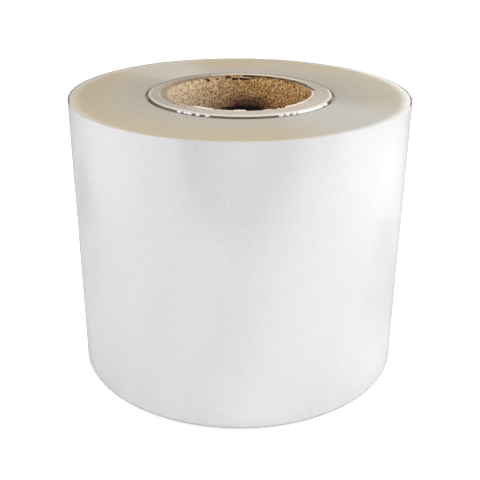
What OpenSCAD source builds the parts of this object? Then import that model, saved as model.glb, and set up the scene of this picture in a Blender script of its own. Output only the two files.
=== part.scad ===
// A roll of clear sealing film, wound on a thick paper core and standing on its end.
// The origin is the centre of the core's lower end face, and +Z runs up the roll's axis.

/* [Film] */
// Width of the film, which is the height of the wound turns
film_width = 150; // [80:1:300]
// Length of film on the roll, in metres
film_length = 300; // [100:10:600]
// Thickness of the film
film_gauge = 0.06; // [0.03:0.005:0.12]

/* [Winding] */
// Width of a band of turns that wandered sideways together
band_width = 2.6; // [1.5:0.1:5]
// Greatest wander of a band to either side
band_wander = 0.1; // [0.05:0.05:0.3]
// Width of the slack turns at the rim
rim_width = 0.6; // [0.3:0.1:1.5]
// Distance that the slack turns at the rim fall away from the end faces
rim_fall = 0.2; // [0.1:0.1:1]
// Distance that the turns next to the core have slipped down from those at the rim
slip = 0.8; // [0:0.1:2]
// Number of first turns that cling to the core and ran out of line
start_turns = 5; // [2:1:12]
// Distance that the first turns stop short of the core's top
start_setback = 0.5; // [0.1:0.1:1]
// Width of the gap that opened beside the first turns
gap_width = 1; // [0.3:0.1:1.5]
// Depth of that gap below the end faces
gap_depth = 2; // [0.4:0.1:3]
// Distance that crumpled first turns stand off the others
crumple_lift = 0.3; // [0.1:0.05:0.6]

/* [Free end] */
// Distance that the cut end of the film stands off the roll
tail_lift = 0.4; // [0.1:0.1:1]
// Arc of the last turn that has come loose, in degrees
tail_arc = 34; // [10:2:80]
// Place of the cut end around the roll, in degrees from +X
tail_place = 152; // [0:1:359]

/* [Core] */
// Bore of the core, the size of the shaft that it slides on
core_bore = 76.2; // [25.4:0.1:152.4]
// Thickness of one ply of the core's board
ply_gauge = 0.635; // [0.3:0.005:1]
// Number of plies in the core's wall
ply_count = 16; // [8:1:24]
// Distance that the core stands out of the turns next to it at each end
core_proud = 1.1; // [0.8:0.1:10]

/* [Core ends] */
// Number of plies from one open seam of an end face to the next
seam_spacing = 3; // [2:1:6]
// Width of an open seam between plies
seam_width = 0.15; // [0.1:0.05:0.3]
// Depth of an open seam between plies
seam_depth = 0.3; // [0.1:0.1:1]
// Depth to which the inner plies are torn away at the upper lip
tear_depth = 0.8; // [0.3:0.1:2]
// Height of the splits where the innermost ply has come away under the upper lip
split_height = 1.4; // [0.5:0.1:3]
// Thickness of the lip that is left above a split
split_lip = 0.3; // [0.2:0.1:1]

/* [Hidden] */
$fn = 180;

// Each tear of the upper lip: its first angle from +X, its sweep in degrees, the plies it takes, and
// its share of the tear depth
LIP_TEARS = [[102, 74, 8, 0.6], [104, 130, 6, 1], [249, 16, 1, 1], [274, 31, 1, 1]];
// Each split under the upper lip: its first angle and its sweep
LIP_SPLITS = [[13, 26], [41, 11], [56, 20], [80, 16], [98, 3]];
// Each crumple of the first turns above the upper end face: its first angle and its sweep
CRUMPLES = [
    [228, 3], [232.5, 2.5], [236.5, 1.5], [243, 2.5], [248.5, 1.5], [293, 4], [299, 4], [305, 27]
];
// Turning by this angle from band to band gives a wander that never repeats
WANDER_TURN = 137.5;
// Arc over which the loose end still lies inside the roll, so that it leaves the surface cleanly
TAIL_ROOT = 6;
// Distance that cutting tools run past the face they cut
PAST = 1;

bore_r = core_bore / 2;
core_r = bore_r + ply_count * ply_gauge;
core_length = film_width + 2 * core_proud;

// The wound film fills a ring whose area is the length times the thickness of the film
wound_area = film_length * 1000 * film_gauge;
roll_r = sqrt(core_r * core_r + wound_area / PI);

// The turns at the rim lie higher than those next to the core, at the top and at the foot alike
foot_z = core_proud + slip;
top_z = foot_z + film_width;

start_r = core_r + start_turns * film_gauge;
start_shift = core_proud - start_setback;
crumple_foot = top_z - slip;
crumple_top = core_length - start_setback / 2;
gap_r = start_r + gap_width;
rim_r = roll_r - rim_width;
band_count = max(1, round((rim_r - gap_r) / band_width));
band_step = (rim_r - gap_r) / band_count;

// The off-centre distance at which a circle of the roll's radius rises by tail_lift over tail_arc
tail_shift = tail_lift / sin(tail_arc);

// How far a band has moved sideways: its own wander, and its share of the slip, which grows
// faster and faster towards the core
function shift(band) = band_wander * sin(WANDER_TURN * band) - slip * pow(1 - band / band_count, 2);

// One end of the film's half section, from the core to the rim. The film has the same width in
// every turn, so a band that stands out at the top sits back by as much at the foot.
// Inward is 1 at the foot and -1 at the top.
function end_line(face_z, inward) = concat(
    [
        [core_r, face_z - slip + start_shift],
        [start_r, face_z - slip + start_shift],
        [start_r, face_z - slip + inward * gap_depth],
        [gap_r, face_z - slip + inward * gap_depth]
    ],
    [for (band = [0 : band_count]) [gap_r + band * band_step, face_z + shift(band)]],
    [[roll_r, face_z + inward * rim_fall]]
);

function reversed(points) = [for (i = [len(points) - 1 : -1 : 0]) points[i]];

// A block bent round the axis, from an inner to an outer radius
module ring_block(inner_r, outer_r, low_z, high_z, from, sweep) {
    rotate([0, 0, from])
        rotate_extrude(angle = sweep)
            translate([inner_r, low_z])
                square([outer_r - inner_r, high_z - low_z]);
}

// All the turns as one ring, with its banded end faces
module wound_turns() {
    rotate_extrude()
        polygon(concat(end_line(foot_z, 1), reversed(end_line(top_z, -1))));
}

// The loose end of the last turn, which lifts off the roll little by little up to its cut edge
module free_end() {
    rise_from = tail_place - tail_arc;
    centre_at = rise_from + 90;
    intersection() {
        ring_block(rim_r, roll_r + tail_shift, foot_z, top_z, rise_from - TAIL_ROOT, tail_arc + TAIL_ROOT);
        translate([tail_shift * cos(centre_at), tail_shift * sin(centre_at), foot_z - PAST])
            cylinder(r = roll_r, h = film_width + 2 * PAST);
    }
}

// The outer half of the first turns where they are crumpled, which stands off the core and reaches
// up towards its top
module crumples() {
    for (crumple = CRUMPLES)
        ring_block(
            (core_r + start_r) / 2,
            start_r + crumple_lift,
            crumple_foot,
            crumple_top,
            crumple[0],
            crumple[1]
        );
}

module film_roll() {
    color([0.87, 0.86, 0.83]) {
        wound_turns();
        free_end();
        crumples();
    }
}

// The half section of the core's wall, with open seams between the plies at both ends
module core_wall() {
    difference() {
        translate([bore_r, 0])
            square([core_r - bore_r, core_length]);
        for (ply = [seam_spacing : seam_spacing : ply_count - 1], face_z = [0, core_length])
            translate([bore_r + ply * ply_gauge - seam_width / 2, face_z - seam_depth])
                square([seam_width, 2 * seam_depth]);
    }
}

module paper_core() {
    color([0.72, 0.62, 0.48])
        difference() {
            rotate_extrude()
                core_wall();
            for (tear = LIP_TEARS)
                ring_block(
                    bore_r - PAST,
                    bore_r + tear[2] * ply_gauge,
                    core_length - tear[3] * tear_depth,
                    core_length + PAST,
                    tear[0],
                    tear[1]
                );
            for (split = LIP_SPLITS)
                ring_block(
                    bore_r - PAST,
                    bore_r + ply_gauge,
                    core_length - split_lip - split_height,
                    core_length - split_lip,
                    split[0],
                    split[1]
                );
        }
}

film_roll();
paper_core();
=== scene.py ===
import math

import bpy
from mathutils import Matrix, Vector, noise


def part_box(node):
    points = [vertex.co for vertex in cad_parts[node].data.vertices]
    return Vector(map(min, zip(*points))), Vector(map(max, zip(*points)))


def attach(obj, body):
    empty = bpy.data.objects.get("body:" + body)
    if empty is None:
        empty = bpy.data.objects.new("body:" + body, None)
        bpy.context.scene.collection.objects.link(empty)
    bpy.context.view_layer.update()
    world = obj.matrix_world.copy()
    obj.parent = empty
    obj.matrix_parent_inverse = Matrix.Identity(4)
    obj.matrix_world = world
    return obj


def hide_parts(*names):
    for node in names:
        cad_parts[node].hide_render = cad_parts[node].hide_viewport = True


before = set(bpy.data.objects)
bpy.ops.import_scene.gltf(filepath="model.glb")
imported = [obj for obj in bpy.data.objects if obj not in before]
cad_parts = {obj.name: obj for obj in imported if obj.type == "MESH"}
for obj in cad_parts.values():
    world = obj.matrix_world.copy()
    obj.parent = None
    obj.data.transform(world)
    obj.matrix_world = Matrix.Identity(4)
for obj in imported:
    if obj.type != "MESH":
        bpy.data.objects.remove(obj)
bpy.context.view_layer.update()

# The camera looks a little down on the roll, so that the upper end face shows as a flat ellipse.
# It aims at the middle of the film's wall from just under half a metre off, and leans a little.
mm = 0.001
core_low, core_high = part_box("paper_core")
aim_height = 76.9 * mm
wall_middle = Vector((0, 0, core_low.z + aim_height))
camera_distance = 453.2 * mm
camera_rise = math.radians(22.81)
lens_tilt = Matrix.Rotation(math.radians(90 - 24.08), 3, "X")
lens_turn = Matrix.Rotation(math.radians(-0.07), 3, "Z")
lens_lean = Matrix.Rotation(math.radians(0.39), 3, "Z")
camera_offset = Vector((0, -math.cos(camera_rise), math.sin(camera_rise))) * camera_distance
bpy.ops.object.camera_add(
    location=wall_middle + camera_offset, rotation=(lens_turn @ lens_tilt @ lens_lean).to_euler()
)
camera = bpy.context.object
camera.data.lens = 59.76
camera.data.sensor_width = 36
bpy.context.scene.camera = camera
bpy.context.scene.view_settings.view_transform = "Standard"


# The roll stands on a plain white table in a white room. The camera sees both as pure white, with
# only the roll's soft shadow on the table, and the roll's gloss sees them almost as white.
class Shade:
    """One socket of a material's node tree. Sums written on it add Math nodes."""

    def __init__(self, tree, socket):
        self.tree = tree
        self.socket = socket

    def node(self, kind, settings, inputs, output=0):
        made = self.tree.nodes.new(kind)
        for name, value in settings.items():
            if name == "stops":
                ramp = made.color_ramp
                while len(ramp.elements) < len(value):
                    ramp.elements.new(0.5)
                for element, (place, shown) in zip(ramp.elements, value):
                    element.position = place
                    element.color = shown
            else:
                setattr(made, name, value)
        for name, value in inputs.items():
            if isinstance(value, Shade):
                self.tree.links.new(value.socket, made.inputs[name])
            else:
                made.inputs[name].default_value = value
        return Shade(self.tree, made.outputs[output])

    def maths(self, operation, *values):
        return self.node("ShaderNodeMath", {"operation": operation}, dict(enumerate(values)))

    def __add__(self, other):
        return self.maths("ADD", self, other)

    def __radd__(self, other):
        return self.maths("ADD", other, self)

    def __sub__(self, other):
        return self.maths("SUBTRACT", self, other)

    def __rsub__(self, other):
        return self.maths("SUBTRACT", other, self)

    def __mul__(self, other):
        return self.maths("MULTIPLY", self, other)

    def __rmul__(self, other):
        return self.maths("MULTIPLY", other, self)

    def __truediv__(self, other):
        return self.maths("DIVIDE", self, other)

    def __abs__(self):
        return self.maths("ABSOLUTE", self)

    def fraction(self):
        return self.maths("FRACT", self)

    def between(self, low, high, first=0.0, last=1.0):
        """Goes smoothly from first to last while this value goes from low to high."""
        spread = {"From Min": low, "From Max": high, "To Min": first, "To Max": last}
        return self.node(
            "ShaderNodeMapRange", {"interpolation_type": "SMOOTHSTEP"}, {"Value": self, **spread}
        )

    def mixed(self, first, second):
        """Goes from one colour to another as this value goes from 0 to 1."""
        return self.node("ShaderNodeMix", {"data_type": "RGBA"}, {0: self, 6: first, 7: second}, output=2)

    def tinted(self, tint):
        """This colour multiplied by another."""
        settings = {"data_type": "RGBA", "blend_type": "MULTIPLY"}
        return self.node("ShaderNodeMix", settings, {0: 1.0, 6: self, 7: tint}, output=2)

    def ramp(self, *stops):
        """Reads this value on a colour ramp of places and colours."""
        return self.node("ShaderNodeValToRGB", {"stops": stops}, {0: self})

    def parts(self):
        """The X, Y and Z of a place."""
        apart = self.node("ShaderNodeSeparateXYZ", {}, {0: self}).socket.node
        return (Shade(self.tree, output) for output in apart.outputs)

    def cloud(self, scale, detail=3.0, stretch=(1, 1, 1)):
        """Soft noise from 0 to 1 at a place, with a pattern of about 1 / scale metres."""
        place = self.node("ShaderNodeMapping", {}, {"Vector": self, "Scale": stretch})
        return self.node("ShaderNodeTexNoise", {}, {"Vector": place, "Scale": scale, "Detail": detail})

    def line_cloud(self, scale, detail=3.0):
        """Soft noise from 0 to 1 along one value."""
        inputs = {"W": self, "Scale": scale, "Detail": detail}
        return self.node("ShaderNodeTexNoise", {"noise_dimensions": "1D"}, inputs)

    def bump(self, height, strength=1.0):
        """A normal that makes this value look like a relief of a given height."""
        inputs = {"Strength": strength, "Distance": height, "Height": self}
        return self.node("ShaderNodeBump", {}, inputs)


def seen_as(red, green, blue):
    """A colour as a screen shows it, 0 to 255, made into light."""
    return (*((part / 255) ** 2.2 for part in (red, green, blue)), 1.0)


def new_material(name):
    """A material, its shader node, and the place on the object as a Shade."""
    material = bpy.data.materials.new(name)
    material.use_nodes = True
    tree = material.node_tree
    place = tree.nodes.new("ShaderNodeTexCoord").outputs["Object"]
    return material, tree.nodes["Principled BSDF"], Shade(tree, place)


def feed(shader, **values):
    """Sets a shader's sockets: a Shade is linked, and anything else is set on the socket."""
    for name, value in values.items():
        socket = shader.inputs[name.replace("_", " ").title().replace("Ior", "IOR")]
        if isinstance(value, Shade):
            value.tree.links.new(value.socket, socket)
        else:
            socket.default_value = value


def ray_kind(tree, name):
    """1 for the rays of one kind and 0 for all others."""
    return Shade(tree, tree.nodes.new("ShaderNodeLightPath").outputs[name])


table_width = 8.0
table_white = 0.82
table_near = 0.30
table_far = 1.10
glow_near = 0.70
glow_far = 1.0
glow_in_gloss = 0.14
glow_at_foot = 0.21
bpy.ops.mesh.primitive_plane_add(size=table_width, location=(0, 0, core_low.z))
table = bpy.context.object
table.name = "table"
table_material, table_shader, table_place = new_material("white_table")
table_x, table_y, _ = table_place.parts()
from_roll = table_place.maths("SQRT", table_x * table_x + table_y * table_y)
to_camera = ray_kind(table_place.tree, "Is Camera Ray")
to_gloss = ray_kind(table_place.tree, "Is Glossy Ray")
table_glow = to_camera * from_roll.between(table_near, table_far, glow_near, glow_far)
gloss_glow = to_gloss * from_roll.between(0.10, 0.24, glow_at_foot, glow_in_gloss)
feed(
    table_shader,
    base_color=(table_white, table_white, table_white, 1),
    roughness=0.9,
    specular_ior_level=0.0,
    emission_color=(1, 1, 1, 1),
    emission_strength=table_glow + gloss_glow,
)
table.data.materials.append(table_material)
table_material.cycles.emission_sampling = "NONE"

room_light = 0.30
room_in_gloss = 0.88
world = bpy.data.worlds.new("white_room")
bpy.context.scene.world = world
world.use_nodes = True
world.cycles.sampling_method = "NONE"
sky = world.node_tree.nodes["Background"]
sky_to_camera = ray_kind(world.node_tree, "Is Camera Ray")
sky_to_gloss = ray_kind(world.node_tree, "Is Glossy Ray")
sky_light = sky_to_camera * (1 - room_light) + sky_to_gloss * (room_in_gloss - room_light) + room_light
feed(sky, color=(1, 1, 1, 1), strength=sky_light)


# Soft boxes stand to the right, to the left and low in front of the roll, and one hangs above and
# behind it. The light from in front comes in so low that the bore is dark below its first inch, and
# painted shade in the board darkens it further.
def soft_box(name, place, width, height, watts):
    """A rectangular lamp that faces the roll."""
    place = Vector(place)
    facing = (wall_middle - place).to_track_quat("-Z", "Y").to_euler()
    bpy.ops.object.light_add(type="AREA", location=place, rotation=facing)
    lamp = bpy.context.object
    lamp.name = name
    lamp.data.shape = "RECTANGLE"
    lamp.data.size = width
    lamp.data.size_y = height
    lamp.data.energy = watts


soft_box("right_soft_box", (0.62, 0.05, 0.36), 0.50, 0.50, 3.0)
soft_box("left_soft_box", (-0.66, 0.0, 0.38), 0.40, 0.45, 1.7)
soft_box("front_soft_box", (0, -1.10, 0.30), 0.90, 0.40, 5.0)
soft_box("top_soft_box", (0.05, 0.45, 0.75), 0.60, 0.50, 2.2)


# Cards around the roll show only in its gloss: a white one close on the right, a pale one on the
# left, and grey ones on the table in front and beside it.
def gloss_card(name, place, turn, width, height, brightness, blur, disc=False):
    """A card that only reflections show, with its edges blurred over a share of its width."""
    bpy.ops.mesh.primitive_plane_add(size=1, location=place, rotation=turn)
    piece = bpy.context.object
    piece.name = name
    piece.scale = (width, height, 1)
    material, shader, spot = new_material(name)
    across, along, _ = spot.parts()
    if disc:
        shape = (0.5 - spot.maths("SQRT", across * across + along * along)).between(0, blur)
    else:
        shape = (0.5 - abs(across)).between(0, blur)
        shape = shape * (0.5 - abs(along)).between(0, blur * width / height)
    feed(
        shader,
        base_color=(0, 0, 0, 1),
        specular_ior_level=0.0,
        emission_color=(1, 1, 1, 1),
        emission_strength=brightness,
        alpha=shape,
    )
    material.cycles.emission_sampling = "NONE"
    piece.data.materials.append(material)
    piece.visible_camera = False
    piece.visible_diffuse = False
    piece.visible_transmission = False
    piece.visible_shadow = False


upright = math.radians(90)
above_table = core_low.z + 0.5 * mm
gloss_card("white_card", (0.30, 0.02, 0.25), (0, upright, 0), 0.50, 0.40, 1.03, 0.25)
gloss_card("pale_card", (-0.38, -0.34, 0.20), (0, upright, 0), 0.40, 0.32, 0.94, 0.10)
gloss_card("grey_disc", (0, -0.78, above_table), (0, 0, 0), 0.96, 0.96, 0.62, 0.06, disc=True)
gloss_card("right_shade", (0.21, 0.03, above_table), (0, 0, math.radians(-60)), 0.20, 0.26, 0.93, 0.35)
gloss_card("left_shade", (-0.31, 0.16, above_table), (0, 0, math.radians(53)), 0.20, 0.24, 0.72, 0.40)

# The wound film is one long web of clear plastic, wound into some 690 turns. The wall of the roll
# is the outermost turn, and the end faces are the cut edges of all the turns side by side. They
# are a little dished, because the turns next to the core have slipped down.
film_length = 300
film_gauge = 0.06 * mm
core_stand_out = 1.1 * mm
slip = 0.8 * mm
core_radius = core_high.x
roll_radius = math.sqrt(core_radius**2 + film_length * film_gauge / math.pi)
foot_height = core_low.z + core_stand_out + slip
top_height = core_high.z - core_stand_out + slip
cling_thickness = 0.3 * mm
gap_width = 1.35 * mm
gap_fall = 0.25 * mm
gap_round = 1.2 * mm
gap_depth = 2.0 * mm
rim_width = 0.6 * mm
rim_fall = 0.2 * mm
rim_row = 0.4 * mm
band_width = 2.6 * mm
band_wander = 0.06 * mm
wander_turn = math.radians(137.5)
edge_step = 0.5 * mm
wall_step = 4.0 * mm
wall_wave = 0.3 * mm
wave_size = 60 * mm
steps_round = 256

gap_radius = core_radius + cling_thickness + gap_width
rim_radius = roll_radius - rim_width
band_count = round((rim_radius - gap_radius) / band_width)
band_step = (rim_radius - gap_radius) / band_count


def smooth(value, low, high):
    """Goes smoothly from 0 to 1 while a value goes from low to high."""
    share = min(max((value - low) / (high - low), 0), 1)
    return share * share * (3 - 2 * share)


def band_height(radius):
    """How far the turns at this radius have moved along the axis, easing from band to band."""
    place = (radius - gap_radius) / band_step
    band = min(int(place), band_count - 1)
    near, far = (band_wander * math.sin(wander_turn * number) for number in (band, band + 1))
    slipped = slip * (1 - place / band_count) ** 2
    rounded = gap_fall * (1 - smooth(radius - gap_radius, 0, gap_round))
    return near + (far - near) * (place - band) - slipped - rounded


def end_outline(face_height, inward):
    """One end face from the gap at the core out to the rim, as radius and height."""
    count = round((rim_radius - gap_radius) / edge_step)
    floor = face_height - slip + inward * gap_depth
    points = [(core_radius, floor), (gap_radius, floor), (gap_radius, floor - inward * gap_depth / 2)]
    for number in range(count + 1):
        radius = gap_radius + (rim_radius - gap_radius) * number / count
        points.append((radius, face_height + band_height(radius)))
    points.append((roll_radius - rim_width / 4, face_height + inward * rim_fall / 3))
    points.append((roll_radius, face_height + inward * rim_fall))
    points.append((roll_radius, face_height + inward * (rim_fall + rim_row)))
    return points


def turned(name, outline, steps):
    """Spins a closed outline of radii and heights about the roll's axis."""
    bpy.ops.object.select_all(action="DESELECT")
    bpy.ops.mesh.primitive_circle_add(vertices=len(outline), radius=core_radius)
    piece = bpy.context.object
    piece.name = name
    for vertex, (radius, height) in zip(piece.data.vertices, outline):
        vertex.co = (radius, 0, height)
    bpy.ops.object.mode_set(mode="EDIT")
    bpy.ops.mesh.select_all(action="SELECT")
    bpy.ops.mesh.spin(steps=steps, angle=2 * math.pi, center=(0, 0, 0), axis=(0, 0, 1))
    bpy.ops.mesh.select_all(action="SELECT")
    bpy.ops.mesh.remove_doubles(threshold=0.001 * mm)
    bpy.ops.mesh.normals_make_consistent(inside=False)
    bpy.ops.object.mode_set(mode="OBJECT")
    return piece


def only_object(piece):
    """Leaves one object selected and active."""
    bpy.ops.object.select_all(action="DESELECT")
    piece.select_set(True)
    bpy.context.view_layer.objects.active = piece


def push(piece, name, share_at, strength, grain=None, direction="NORMAL"):
    """Moves vertices for good, each by its own share of a distance. The share comes from the
    vertex's radius, angle and height, and with a grain a soft noise moves it in and out."""
    group = piece.vertex_groups.new(name=name)
    for vertex in piece.data.vertices:
        x, y, z = vertex.co
        share = share_at(math.hypot(x, y), math.degrees(math.atan2(y, x)) % 360, z)
        if share > 0:
            group.add([vertex.index], min(share, 1), "REPLACE")
    only_object(piece)
    modifier = piece.modifiers.new(name, "DISPLACE")
    modifier.direction = direction
    modifier.strength = strength
    modifier.vertex_group = name
    modifier.mid_level = 0
    if grain:
        modifier.texture = bpy.data.textures.new(name, "CLOUDS")
        modifier.texture.noise_scale = grain
        modifier.texture_coords = "LOCAL"
        modifier.mid_level = 0.5
    bpy.ops.object.modifier_apply(modifier=name)


wall_count = round((top_height - foot_height) / wall_step)
wall_outline = [
    (roll_radius, foot_height + (top_height - foot_height) * number / wall_count)
    for number in range(1, wall_count)
]
roll_outline = end_outline(foot_height, 1) + wall_outline + end_outline(top_height, -1)[::-1]
film = turned("wound_film", roll_outline, steps_round)
push(film, "slack_wall", lambda radius, angle, height: float(radius > rim_radius), wall_wave, wave_size)

# The outer turns lie close together like a pile of panes, so the wall is silvery and glossy. Seen
# edge-on through the clear outermost turns it looks greyer, which draws its thin outline.
wall_material, wall_shader, wall_place = new_material("outer_turns")
wall_x, wall_y, wall_z = wall_place.parts()
wall_patches = wall_place.cloud(12.0, 3.0, (1, 1, 0.5))
wall_ripples = wall_place.cloud(16.0, 2.0, (1, 1, 0.35)) + wall_place.cloud(420.0, 2.0) * 0.02
wall_turn = wall_place.maths("ARCTAN2", wall_y, wall_x)
folds = (wall_turn * 0.09 - wall_z * 0.25).line_cloud(26.0, 2.0) * 0.4 + wall_patches * 0.6
haze = wall_place.cloud(900.0, 2.0)
wall_tone = folds.between(0.36, 0.64).mixed(seen_as(236, 235, 238), seen_as(243, 242, 244))
wall_tone = haze.between(0.3, 0.7).mixed(seen_as(248, 248, 248), (1, 1, 1, 1)).tinted(wall_tone)
# Painted shadow: the wall's lowest millimetre is painted grey, for the table shadow it mirrors.
painted_foot_shadow = wall_z.between(foot_height + 0.4 * mm, foot_height + 1.0 * mm, 1, 0)
feed(
    wall_shader,
    base_color=(painted_foot_shadow * 0.8).mixed(wall_tone, seen_as(150, 150, 152)),
    metallic=0.5,
    roughness=wall_patches.between(0.3, 0.7, 0.16, 0.24),
    ior=1.5,
    coat_weight=1.0,
    coat_roughness=0.05,
    coat_ior=1.001,
    coat_tint=(0.973, 0.973, 0.973, 1),
    normal=wall_ripples.bump(1.0 * mm, 0.5),
)

# On the end faces the edges of the turns look greige, warmer towards the rim and greyer towards
# the core. Light is painted into this colour: the greige is painted lighter towards the front and
# the right, a painted sheen lies to the back left and to the front right, and the last millimetres
# are painted pale as a glow of light through the rim, widest on the right. A thin broken painted
# dark line stands for the rim's shaded edge at the sides and along the back.
edge_material, edge_shader, edge_place = new_material("turn_edges")
edge_x, edge_y, _ = edge_place.parts()
edge_radius = edge_place.maths("SQRT", edge_x * edge_x + edge_y * edge_y)
# The pale rim is a painted glow of light through the outer turns, widest towards the lit right.
lit_side_turn = math.radians(-15)
toward_lit_right = (edge_x * math.cos(lit_side_turn) + edge_y * math.sin(lit_side_turn)) / edge_radius
rim_line = (abs(edge_x) / edge_radius).between(0.5, 1.0, 2.4 * mm, 1.2 * mm) * edge_y.between(-0.036, -0.022)
from_line = roll_radius - edge_radius - rim_line
rim_glow_width = abs(toward_lit_right - 0.1).between(0.2, 1.0, 1.9 * mm, 6.5 * mm)
edge_turn = edge_place.maths("ARCTAN2", edge_y, edge_x)
# Painted sheen: a paler sector to the back left, which also narrows the painted pale rim there.
painted_back_sheen = abs(edge_turn - math.radians(129)).between(math.radians(8), math.radians(26), 1, 0)
painted_rim_glow = (1 - from_line / rim_glow_width).between(0, 1) * toward_lit_right.between(-0.2, 0.6, 0.36, 1.0)
painted_rim_glow = painted_rim_glow * (1 - painted_back_sheen * 0.6) * edge_y.between(-0.088, -0.07, 0.6, 1.0)
# Painted shade: a thin broken dark line at the rim stands for its shaded edge at the sides and back.
broken = edge_turn.line_cloud(9.0, 3.0).between(0.3, 0.6, 0.6, 1.0)
painted_rim_outline = from_line.between(-0.4 * mm, 0.0, 1, 0) * edge_y.between(-0.036, -0.022) * broken
cloudy = (edge_place.cloud(30.0, 2.0) - 0.5) * 6 * mm
share_out = (edge_radius + cloudy - gap_radius) / (roll_radius - gap_radius)
back_tone = share_out.ramp(
    (0.0, seen_as(171, 162, 148)),
    (0.5, seen_as(181, 166, 141)),
    (1.0, seen_as(181, 162, 126)),
)
painted_lit_front_tone = share_out.ramp(
    (0.0, seen_as(183, 175, 161)),
    (0.5, seen_as(189, 175, 150)),
    (1.0, seen_as(195, 179, 144)),
)
painted_lit_right_tone = share_out.ramp(
    (0.0, seen_as(172, 165, 157)),
    (0.5, seen_as(183, 171, 151)),
    (1.0, seen_as(192, 181, 156)),
)
# Painted light: the greige is painted lighter towards the front and towards the right.
turn_tone = (-1 * edge_y).between(-0.01, 0.07).mixed(back_tone, painted_lit_front_tone)
turn_tone = edge_x.between(0.03, 0.08).mixed(turn_tone, painted_lit_right_tone)
warm_back = abs(edge_turn - math.radians(93)).between(math.radians(6), math.radians(26), 1, 0)
turn_tone = (warm_back * share_out.between(0.1, 0.7)).mixed(turn_tone, seen_as(177, 157, 117))
# Painted sheen: paler greige to the back left and to the front right.
turn_tone = painted_back_sheen.mixed(turn_tone, seen_as(193, 184, 167))
painted_front_sheen = abs(edge_turn + math.radians(44)).between(math.radians(8), math.radians(36), 1, 0)
turn_tone = painted_front_sheen.mixed(turn_tone, seen_as(197, 190, 180))
fine_turns = edge_radius.line_cloud(1100.0, 4.0)
broad_turns = edge_radius.line_cloud(220.0, 2.0)
ringed = (fine_turns * 0.6 + broad_turns * 0.4).between(0.3, 0.7)
edge_tone = turn_tone.tinted(ringed.mixed(seen_as(249, 249, 249), (1, 1, 1, 1)))
edge_tone = painted_rim_glow.mixed(edge_tone, seen_as(243, 243, 238))
feed(
    edge_shader,
    base_color=painted_rim_outline.mixed(edge_tone, seen_as(88, 84, 80)),
    roughness=0.40,
    ior=1.5,
    specular_ior_level=0.25,
    anisotropic=0.6,
    subsurface_weight=0.3,
    subsurface_scale=0.003,
    normal=(fine_turns * 0.5 + broad_turns * 0.5).bump(0.10 * mm, 0.5),
)

# The gap beside the first turns is so narrow that little light comes back out.
gap_material, gap_shader, gap_place = new_material("gap_shade")
gap_x, _, _ = gap_place.parts()
# The gap's colour is painted shade, less dark towards the left and right than at the front and back.
painted_gap_tone = (gap_x / core_radius * 0.5 + 0.5).ramp(
    (0.0, seen_as(205, 196, 186)),
    (0.15, seen_as(240, 230, 214)),
    (0.4, seen_as(190, 175, 152)),
    (0.6, seen_as(190, 175, 152)),
    (0.85, seen_as(242, 234, 224)),
    (1.0, seen_as(236, 228, 218)),
)
painted_gap_tone = gap_place.cloud(600.0).mixed(seen_as(225, 225, 225), (1, 1, 1, 1)).tinted(painted_gap_tone)
feed(gap_shader, base_color=painted_gap_tone, roughness=0.6)

for material in (wall_material, edge_material, gap_material):
    film.data.materials.append(material)
for face in film.data.polygons:
    middle = math.hypot(*face.center.xy)
    if middle < gap_radius + 0.01 * mm:
        face.material_index = 2
    elif abs(face.normal.z) > 0.5 or middle < rim_radius:
        face.material_index = 1
only_object(film)
bpy.ops.object.shade_smooth_by_angle(angle=math.radians(35))
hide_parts("film_roll")
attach(film, "root")


# The free end is the last third of a turn at the back, where the film has sprung a little off the
# roll. It leaves the wall without a step and ends in a straight cut edge.
def swept(name, low, high, cuts, centre, sweep, steps):
    """A strip that starts as an upright line and is swept about an upright axis."""
    bpy.ops.object.select_all(action="DESELECT")
    bpy.ops.mesh.primitive_circle_add(vertices=3, radius=core_radius)
    piece = bpy.context.object
    piece.name = name
    bpy.ops.object.mode_set(mode="EDIT")
    bpy.ops.mesh.select_mode(type="VERT")
    bpy.ops.mesh.select_all(action="DESELECT")
    bpy.ops.object.mode_set(mode="OBJECT")
    piece.data.vertices[2].select = True
    bpy.ops.object.mode_set(mode="EDIT")
    bpy.ops.mesh.delete(type="VERT")
    bpy.ops.object.mode_set(mode="OBJECT")
    piece.data.vertices[0].co = low
    piece.data.vertices[1].co = high
    bpy.ops.object.mode_set(mode="EDIT")
    bpy.ops.mesh.select_all(action="SELECT")
    bpy.ops.mesh.subdivide(number_cuts=cuts)
    bpy.ops.mesh.select_all(action="SELECT")
    bpy.ops.mesh.spin(steps=steps, angle=sweep, center=centre, axis=(0, 0, 1))
    bpy.ops.mesh.select_all(action="SELECT")
    bpy.ops.mesh.remove_doubles(threshold=0.001 * mm)
    bpy.ops.object.mode_set(mode="OBJECT")
    return piece


def around(radius, degrees, height, centre=(0, 0)):
    """A point by its radius and angle about an upright axis, and its height."""
    angle = math.radians(degrees)
    return Vector((centre[0] + radius * math.cos(angle), centre[1] + radius * math.sin(angle), height))


def thicken(piece, thickness, offset):
    """Gives a strip its thickness, for good, and shades it smooth."""
    only_object(piece)
    modifier = piece.modifiers.new("thickness", "SOLIDIFY")
    modifier.thickness = thickness
    modifier.offset = offset
    bpy.ops.object.modifier_apply(modifier="thickness")
    bpy.ops.object.mode_set(mode="EDIT")
    bpy.ops.mesh.select_all(action="SELECT")
    bpy.ops.mesh.normals_make_consistent(inside=False)
    bpy.ops.object.mode_set(mode="OBJECT")
    bpy.ops.object.shade_smooth_by_angle(angle=math.radians(35))


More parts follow.
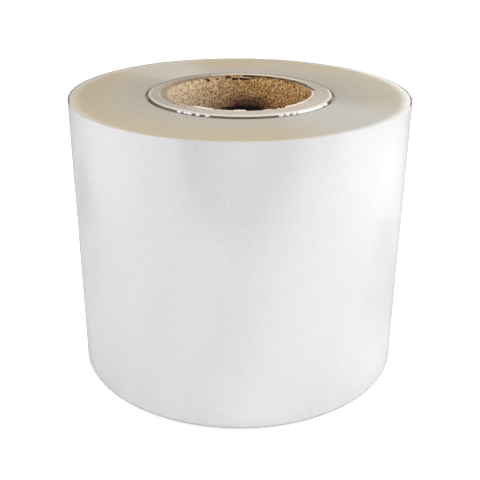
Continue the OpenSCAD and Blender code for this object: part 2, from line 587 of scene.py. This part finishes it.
tail_lift = 0.4 * mm
tail_arc = 34
tail_place = 152
tail_root = 6
tail_thickness = 0.12 * mm
flutter_lift = 0.5 * mm
flutter_size = 28 * mm
wall_cuts = 40
tail_steps = 48
tail_shift = tail_lift / math.sin(math.radians(tail_arc))
tail_centre = around(tail_shift, tail_place - tail_arc + 90, 0)
tail_from = tail_place - tail_arc - tail_root
free_end = swept(
    "free_end",
    around(roll_radius, tail_from, foot_height + rim_fall, tail_centre),
    around(roll_radius, tail_from, top_height - rim_fall, tail_centre),
    wall_cuts,
    tail_centre,
    math.radians(tail_arc + tail_root),
    tail_steps,
)
push(
    free_end,
    "flutter",
    lambda radius, angle, height: smooth(angle, tail_place - tail_arc / 2, tail_place),
    flutter_lift,
    flutter_size,
)
thicken(free_end, tail_thickness, -1)
free_end.data.materials.append(wall_material)
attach(free_end, "root")

# The first turns cling to the core and stand out of the roll beside it. On the side towards the
# camera they are crumpled, stand up to the core's top, and shine where the crumples face the light;
# there the clear film is also painted opaque white, a painted glint.
# Each crumple has its first angle and its sweep, in degrees round from the roll's right.
crumples = (
    (231.3, 2.6),
    (236.1, 1.3),
    (238.6, 2.4),
    (244.6, 1.5),
    (250.3, 2.0),
    (293.0, 2.3),
    (297.2, 2.3),
    (301.5, 2.2),
    (304.9, 23.5),
    (329.9, 5.0),
)
cling_top = core_high.z - 0.5 * mm
start_height = top_height - slip
cling_foot = start_height - gap_depth / 2
cling_clear = 0.08 * mm
cling_sheet = 0.1 * mm
cling_cuts = 9
cling_steps = 540
crumple_rise = 0.6 * mm
crumple_stand_off = 1.1 * mm


def crumpled(angle, soft=0.5):
    """1 inside a crumple of the first turns and 0 away from it."""
    return max(
        smooth(angle, first - soft, first + soft) * smooth(angle, first + sweep + soft, first + sweep - soft)
        for first, sweep in crumples
    )


first_turns = swept(
    "first_turns",
    around(core_radius + cling_clear, 0, cling_foot),
    around(core_radius + cling_clear, 0, cling_top),
    cling_cuts,
    (0, 0, 0),
    2 * math.pi,
    cling_steps,
)


def above_foot(height):
    """0 at the foot of the first turns and 1 at their upper edge."""
    return (height - cling_foot) / (cling_top - cling_foot)


def uneven(angle, waves, seed):
    """Soft noise from 0 to 1 around the roll, with a number of waves to a turn."""
    turn = math.radians(angle)
    reach = waves / (2 * math.pi)
    return 0.5 + 0.5 * noise.noise(Vector((math.cos(turn) * reach, math.sin(turn) * reach, seed)))


push(
    first_turns,
    "crumples_up",
    lambda radius, angle, height: above_foot(height) * crumpled(angle) * (0.3 + 0.7 * uneven(angle, 90, 3.1)),
    crumple_rise,
    direction="Z",
)
# The sheet's faces point inwards until it gets its thickness, so a push outwards is negative.
push(
    first_turns,
    "crumples_out",
    lambda radius, angle, height: smooth(above_foot(height), 0.05, 0.3)
    * (1 - 0.8 * smooth(above_foot(height), 0.35, 1.0))
    * (0.08 + 0.92 * crumpled(angle))
    * (0.75 + 0.5 * uneven(angle, 110, 7.7)),
    -crumple_stand_off,
)
thicken(first_turns, cling_sheet, 0)

# Painted glint: along the crumples the clear film is opaque white, and elsewhere nearly see-through.
cling_material, cling_shader, cling_place = new_material("crumpled_film")
cling_x, cling_y, cling_z = cling_place.parts()
cling_radius = cling_place.maths("SQRT", cling_x * cling_x + cling_y * cling_y)
painted_glint_arcs = None
for first, sweep in crumples:
    facing = math.radians(first + sweep / 2)
    inner, outer = (math.cos(math.radians(sweep / 2 + soft)) for soft in (0.0, 0.8))
    along_arc = (cling_x * math.cos(facing) + cling_y * math.sin(facing)) / cling_radius
    arc = along_arc.between(outer, inner)
    painted_glint_arcs = arc if painted_glint_arcs is None else painted_glint_arcs + arc
creases = cling_place.cloud(900.0, 2.0)
standing = cling_z.between(start_height - 0.3 * mm, start_height + 0.1 * mm, 0.1, 1.0)
feed(
    cling_shader,
    base_color=seen_as(252, 252, 252),
    roughness=0.2,
    ior=1.9,
    alpha=painted_glint_arcs.between(0, 1) * standing + 0.08,
    normal=creases.bump(0.15 * mm, 0.6),
)
first_turns.data.materials.append(cling_material)
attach(first_turns, "root")

# The core is a tube of brown board, wound from sixteen glued plies of paper. Its cut ends show the
# plies as rings, and its upper lip is torn and crushed where shafts have knocked it.
bore_radius = 38.1 * mm
ply = 0.635 * mm
ply_count = 16
seam_spacing = 3
seam_width = 0.15 * mm
seam_depth = 0.3 * mm
tear_depth = 0.8 * mm
# A tear has its first angle, its sweep, the plies it takes and its share of the tear depth. A split
# has its first angle, its sweep, and its upper and lower edge in millimetres below the lip.
lip_tears = ((6, 82, 3, 1.35), (102, 74, 8, 0.6), (104, 130, 6, 1.0), (249, 16, 1, 1.0), (274, 31, 1, 1.0))
lip_splits = (
    (35.5, 6.5, 0.3, 1.7),
    (44, 5, 0.2, 1.1),
    (76, 5.5, 0.2, 1.4),
    (82.3, 7.7, 1.3, 2.6),
    (91.5, 5.5, 1.4, 2.7),
    (97.6, 5.8, 0.2, 1.5),
    (108.3, 3.4, 0.4, 1.9),
    (116.6, 2.8, 1.0, 2.3),
    (118.2, 3.0, 0.1, 1.4),
    (126, 2.8, 0.5, 1.5),
    (133.5, 2.6, 0.3, 1.2),
)
deepest_split = 2.6 * mm
tear_fade = 1.7 * mm
lip_height = 1.1 * mm
ragged_height = 2.0 * mm
ragged_reach = 0.45 * mm
uneven_fall = 0.22 * mm
outer_fall = 0.4 * mm
ply_edge = 0.05 * mm
corner = 0.12 * mm
core_steps = 480


def ply_outline(face_height, inward):
    """A cut end of the core from the bore outwards, with open seams between some plies."""
    points = [(bore_radius, face_height)]
    for number in range(1, ply_count):
        radius = bore_radius + number * ply
        if number % seam_spacing:
            points += [(radius - ply_edge, face_height), (radius + ply_edge, face_height)]
        else:
            floor = face_height + inward * seam_depth
            points += [
                (radius - seam_width / 2, face_height),
                (radius - seam_width / 2, floor),
                (radius + seam_width / 2, floor),
                (radius + seam_width / 2, face_height),
            ]
    points += [(core_radius - corner, face_height), (core_radius, face_height + inward * corner)]
    return points


fine_rows = [0.15 * row for row in range(1, 19)]
coarse_rows = [3, 4, 5.5, 8, 12, 18, 26, 38, 55, 80, 110, 140]
bore_outline = [(bore_radius, core_high.z - depth * mm) for depth in fine_rows + coarse_rows]
core_outline = ply_outline(core_low.z, 1) + ply_outline(core_high.z, -1)[::-1] + bore_outline
core = turned("paper_tube", core_outline, core_steps)


def split_open(radius, angle, height):
    """1 where the innermost ply has come away in a ragged split under the lip, and 0 elsewhere."""
    below_top = (core_high.z - height) / mm
    if radius > bore_radius + ply / 2 or below_top > deepest_split / mm:
        return 0
    ragged = 0.9 * (uneven(angle, 150, 6.4) - 0.5)
    return float(
        any(
            first < angle < first + sweep and upper + ragged < below_top < lower + ragged
            for first, sweep, upper, lower in lip_splits
        )
    )


def torn(radius, angle, height):
    """How much of a tear's depth is gone at a point of the upper lip, ragged at its borders."""
    below_top = core_high.z - height
    if below_top > tear_fade or radius > bore_radius + 10 * ply:
        return 0
    depth = 0
    for first, sweep, plies, share in lip_tears:
        ragged = 5 * (uneven(angle, 70, first) - 0.5)
        inside = smooth(angle, first + ragged - 0.7, first + ragged + 0.7)
        inside *= smooth(angle, first + sweep + ragged + 0.7, first + sweep + ragged - 0.7)
        reach = bore_radius + (plies + 2.6 * (uneven(angle, 90, first + 9) - 0.5)) * ply
        inside *= smooth(radius, reach + 0.12 * mm, reach - 0.12 * mm)
        depth = max(depth, inside * share * (0.55 + 0.7 * uneven(angle, 120, first + 4)))
    return depth * smooth(below_top, tear_fade, 0)


push(core, "splits", split_open, -ply)
push(core, "torn_lip", torn, -tear_depth, direction="Z")
push(
    core,
    "outer_fall",
    lambda radius, angle, height: float(height > core_high.z - lip_height)
    * (radius - bore_radius)
    / (core_radius - bore_radius),
    -outer_fall,
    direction="Z",
)
push(
    core,
    "uneven_plies",
    lambda radius, angle, height: float(height > core_high.z - lip_height)
    * uneven(angle, 14, round((radius - bore_radius) / ply) * 3.7),
    -uneven_fall,
    direction="Z",
)
push(
    core,
    "ragged_lip",
    lambda radius, angle, height: float(radius < bore_radius + ply / 2)
    * smooth(height, core_high.z - ragged_height, core_high.z)
    * uneven(angle, 170, 1.3),
    ragged_reach,
)

# Inside, the board is plain brown paper with a mottled fibre. Painted light and shade are in its
# colour: creamier on the left, where light from the right falls, and darker deeper in the bore.
# The edges of the innermost ply meet in a spiral seam.
board_material, board_shader, board_place = new_material("core_board")
board_x, board_y, board_z = board_place.parts()
seam_lead = 138 * mm
seam_rise = 45 * mm
board_turn = board_place.maths("ARCTAN2", board_y, board_x) / (2 * math.pi)
seam_place = ((board_z - seam_rise) / seam_lead - board_turn).fraction()
seam_line = (0.5 - abs(seam_place - 0.5)).between(0, 0.0025, 1, 0)
mottle = board_place.cloud(950.0, 1.0) * 0.8 + board_place.cloud(400.0, 2.0) * 0.2
from_end = (core_high.z - core_low.z) / 2 - abs(board_z - (core_high.z + core_low.z) / 2)
brown_side = mottle.ramp(
    (0.34, seen_as(104, 62, 24)), (0.5, seen_as(206, 152, 84)), (0.66, seen_as(248, 222, 172))
)
# Painted light: the bore's left side, lit from the right, is painted creamier and paler.
painted_lit_cream = mottle.ramp(
    (0.34, seen_as(160, 122, 78)), (0.5, seen_as(234, 207, 168)), (0.66, seen_as(255, 246, 226))
)
board_tone = board_x.between(-bore_radius, bore_radius / 4).mixed(painted_lit_cream, brown_side)
# Painted shade: the board is painted darker from 16 mm into the bore inwards.
board_tone = board_tone.tinted(from_end.between(16 * mm, 40 * mm).mixed((1, 1, 1, 1), seen_as(110, 92, 90)))
# Painted shade over the middle of the bore, from 8 mm to 18.5 mm down.
shade_middle = 4.5 * mm
painted_bore_shade = from_end.between(8 * mm, 18.5 * mm) * abs(board_x - shade_middle).between(4 * mm, 17 * mm, 1, 0)
board_tone = board_tone.tinted(painted_bore_shade.mixed((1, 1, 1, 1), seen_as(104, 91, 142)))
# Painted shadow: a ragged near-black band about 18 mm down in the middle of the bore.
ragged_end = from_end + (board_place.cloud(300.0, 2.0) - 0.5) * 2 * mm
painted_deep_shadow = ragged_end.between(17.3 * mm, 18.2 * mm) * abs(board_x - 1.5 * mm).between(8 * mm, 17 * mm, 1, 0)
board_tone = board_tone.tinted(painted_deep_shadow.mixed((1, 1, 1, 1), seen_as(60, 50, 46)))
flake = abs(board_turn - 0.2385).between(0.008, 0.013, 1, 0) * from_end.between(1.1 * mm, 1.5 * mm, 1, 0)
board_tone = flake.mixed(board_tone, seen_as(240, 220, 190))
board_tone = seam_line.mixed(board_tone, seen_as(112, 80, 50))
board_radius = board_place.maths("SQRT", board_x * board_x + board_y * board_y)
# Painted shade: the board in the splits under the lip and in the tears' steps is painted near black.
painted_crevice_shade = board_radius.between(bore_radius + 0.1 * mm, bore_radius + 0.4 * mm)
board_tone = painted_crevice_shade.mixed(board_tone, seen_as(38, 20, 8))
# The core's outer wall is painted dark brown: its own kraft brown with painted shade from the gap.
outer_wall_brown_and_shade = board_radius.between(core_radius - 0.4 * mm, core_radius - 0.1 * mm)
feed(
    board_shader,
    base_color=outer_wall_brown_and_shade.mixed(board_tone, seen_as(106, 84, 60)),
    roughness=0.88,
    normal=(mottle - seam_line * 0.6).bump(0.25 * mm, 0.6),
)

# The saw leaves the cut ends greyer than the paper's faces, with each ply a shade of its own.
cut_material, cut_shader, cut_place = new_material("cut_plies")
cut_x, cut_y, cut_z = cut_place.parts()
cut_radius = cut_place.maths("SQRT", cut_x * cut_x + cut_y * cut_y)
waver = (cut_place.cloud(60.0, 2.0) - 0.5) * 0.9 * mm
ply_place = (cut_radius + waver - bore_radius) / ply
ply_shade = ply_place.line_cloud(1.15, 1.0)
fibres = cut_place.cloud(1100.0, 3.0)
glue_line = abs(ply_place.fraction() - 0.5).between(0.36, 0.5)
glue_shows = cut_place.cloud(90.0, 2.0).between(0.45, 0.6)
cut_tone = (ply_shade * 0.55 + fibres * 0.45).ramp(
    (0.34, seen_as(166, 152, 138)), (0.5, seen_as(190, 179, 166)), (0.66, seen_as(212, 203, 190))
)
cut_tone = (glue_line * glue_shows * 0.55).mixed(cut_tone, seen_as(128, 112, 98))
# Painted light: the cut ends are painted lighter towards the front and right.
cut_painted_light = (cut_x * 0.4 - cut_y) / core_radius
cut_tone = cut_painted_light.between(0.0, 1.0, 0, 0.65).mixed(cut_tone, seen_as(226, 212, 196))
full_height = core_high.z - (cut_radius - bore_radius) * (outer_fall / (core_radius - bore_radius))
sunk = (full_height - cut_z).between(0.3 * mm, 0.6 * mm)
cut_tone = (sunk * 0.7).mixed(cut_tone, seen_as(164, 141, 114))
to_back = cut_y / cut_radius
at_back = to_back.between(0.3, 0.8)
off_back = 1 - to_back.between(0.1, 0.4)
lit_width = abs(to_back).between(0.2, 1.0, 0.8 * mm, 1.8 * mm)
outer_ply = (core_radius - cut_radius) / lit_width
# A painted highlight along the outer ply's edge, strongest on the right and none at the back.
outer_painted_highlight = outer_ply.between(0.9, 1.7, 1, 0) * off_back * cut_x.between(-0.03, 0.04, 0.6, 1.0)
cut_tone = outer_painted_highlight.mixed(cut_tone, seen_as(255, 242, 228))
# Painted shade: a dark line inside the outer edge at the back diagonals, where the gap's shadow lies.
diagonal = to_back.between(0.05, 0.4) * to_back.between(0.85, 1.0, 1.0, 0.3)
back_edge_painted_shade = (core_radius - cut_radius).between(0.7 * mm, 1.9 * mm, 1, 0) * diagonal
cut_tone = (back_edge_painted_shade * 0.8).mixed(cut_tone, seen_as(142, 130, 116))
dim_left = at_back * cut_x.between(-0.03, -0.01, 1, 0)
cut_tone = (dim_left * 0.6).mixed(cut_tone, seen_as(146, 130, 112))
# A painted highlight along the lip of the bore, strongest at the front.
inner_ply = (cut_radius - bore_radius) / lit_width
inner_painted_highlight = inner_ply.between(0.6, 1.2, 1, 0) * off_back * to_back.between(-0.9, -0.3, 1.0, 0.35)
inner_painted_highlight = inner_painted_highlight * cut_x.between(-0.030, -0.018, 0.3, 1.0)
cut_tone = inner_painted_highlight.mixed(cut_tone, seen_as(255, 238, 222))
brown_lip = (cut_radius - bore_radius).between(2.6 * mm, 4.2 * mm, 1, 0) * at_back
cut_tone = (brown_lip * 0.9).mixed(cut_tone, seen_as(140, 110, 72))
back_line = abs(cut_radius - bore_radius - 4.9 * mm).between(0.8 * mm, 1.6 * mm, 1, 0)
cut_tone = (back_line * at_back * cut_x.between(-0.02, 0.0)).mixed(cut_tone, seen_as(248, 223, 182))
# Painted shade: dark dashes on the torn slopes at the back, for the crevices under the lip.
torn_slope_painted_shade = abs(cut_radius - bore_radius - 1.8 * mm).between(1.0 * mm, 1.3 * mm, 1, 0)
torn_slope_painted_shade = torn_slope_painted_shade * (full_height - cut_z).between(0.1 * mm, 0.25 * mm) * cut_x.between(-0.002, 0.0)
dashes = cut_x.line_cloud(260.0, 2.0).between(0.38, 0.5) * cut_x.between(0.012, 0.026, 1.0, 0.45)
cut_tone = (torn_slope_painted_shade * dashes).mixed(cut_tone, seen_as(38, 20, 8))
feed(cut_shader, base_color=cut_tone, roughness=0.9, normal=fibres.bump(0.15 * mm, 0.5))

core.data.materials.append(board_material)
core.data.materials.append(cut_material)
for face in core.data.polygons:
    face.material_index = int(abs(face.normal.z) > 0.5)
only_object(core)
bpy.ops.object.shade_smooth_by_angle(angle=math.radians(35))
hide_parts("paper_core")
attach(core, "root")
